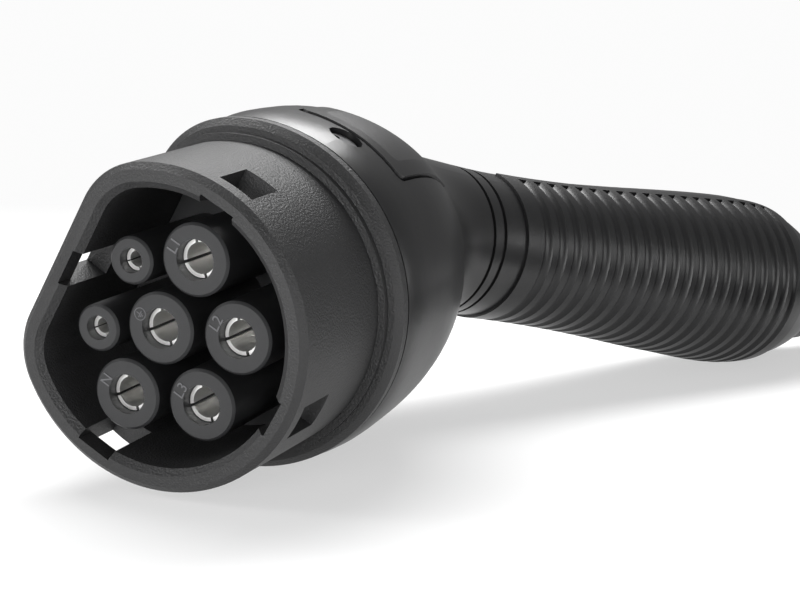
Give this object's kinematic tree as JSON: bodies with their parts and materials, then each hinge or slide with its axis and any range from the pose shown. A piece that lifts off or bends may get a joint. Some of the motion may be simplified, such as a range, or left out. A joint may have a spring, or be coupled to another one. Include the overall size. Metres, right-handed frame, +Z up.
{
  "type": "vehicle charging connector",
  "caption": "Hand-held vehicle-side charging connector with a D-shaped shroud, female contacts in collars, a ribbed pistol handle and its coiled cable.",
  "frame": {"origin": "centre of the underside of the plug's box without its cable, on the floor it lies on", "axes": "+Z up from the floor; +X along the plug towards its mating face, which points forward and slightly down; +Y to the side to which the handle droops"},
  "size_m": [0.3595, 0.3797, 0.0762],
  "materials": {
    "textured_black": "fine-grained matt black polyamide",
    "satin_black": "satin black moulded plastic",
    "soft_black": "soft-touch black elastomer",
    "label_pad": "smooth satin black, left bare",
    "boot_rubber": "matt black rubber",
    "cable_jacket": "matt black polyurethane jacket",
    "tie_nylon": "black hook tape tie",
    "seal_rubber": "soft black rubber",
    "collar_grey": "dark grey glass-filled plastic",
    "inner_plastic": "plain dark grey plastic",
    "silver_plate": "silver-plated turned metal",
    "screw_steel": "zinc-plated steel",
    "resistor_body": "sleeved film resistor",
    "tinned_copper": "tinned copper sleeves",
    "core_green_yellow": "green and yellow core insulation",
    "core_brown": "brown core insulation",
    "core_black": "black core insulation",
    "core_grey": "grey core insulation",
    "core_blue": "blue core insulation",
    "core_signal": "orange signal core insulation"
  },
  "bodies": {
    "root": {"bend_boot": "boot_rubber", "cable": "cable_jacket", "cable_clamp": "inner_plastic", "cable_coil": "cable_jacket", "cable_tail": "cable_jacket", "cable_tie": "tie_nylon", "clamp_screws": "screw_steel", "coding_resistor": "resistor_body", "contact_carrier": "collar_grey", "contact_earth": "silver_plate", "contact_line_1": "silver_plate", "contact_line_2": "silver_plate", "contact_line_3": "silver_plate", "contact_neutral": "silver_plate", "contact_pilot": "silver_plate", "contact_proximity": "silver_plate", "contact_retainer": "inner_plastic", "core_earth": "core_green_yellow", "core_line_1": "core_brown", "core_line_2": "core_black", "core_line_3": "core_grey", "core_neutral": "core_blue", "core_pilot": "core_signal", "cover_inlay": "label_pad", "end_core_earth": "core_green_yellow", "end_core_line_1": "core_brown", "end_core_line_2": "core_black", "end_core_line_3": "core_grey", "end_core_neutral": "core_blue", "end_core_pilot": "core_signal", "fixing_screws": "screw_steel", "gland_nut": "satin_black", "gland_seal": "seal_rubber", "grip": "soft_black", "housing": "satin_black", "housing_seal": "seal_rubber", "retainer_screws": "screw_steel", "shroud": "textured_black", "side_cover": "satin_black", "wire_end_sleeves": "tinned_copper"}
  },
  "joints": []
}
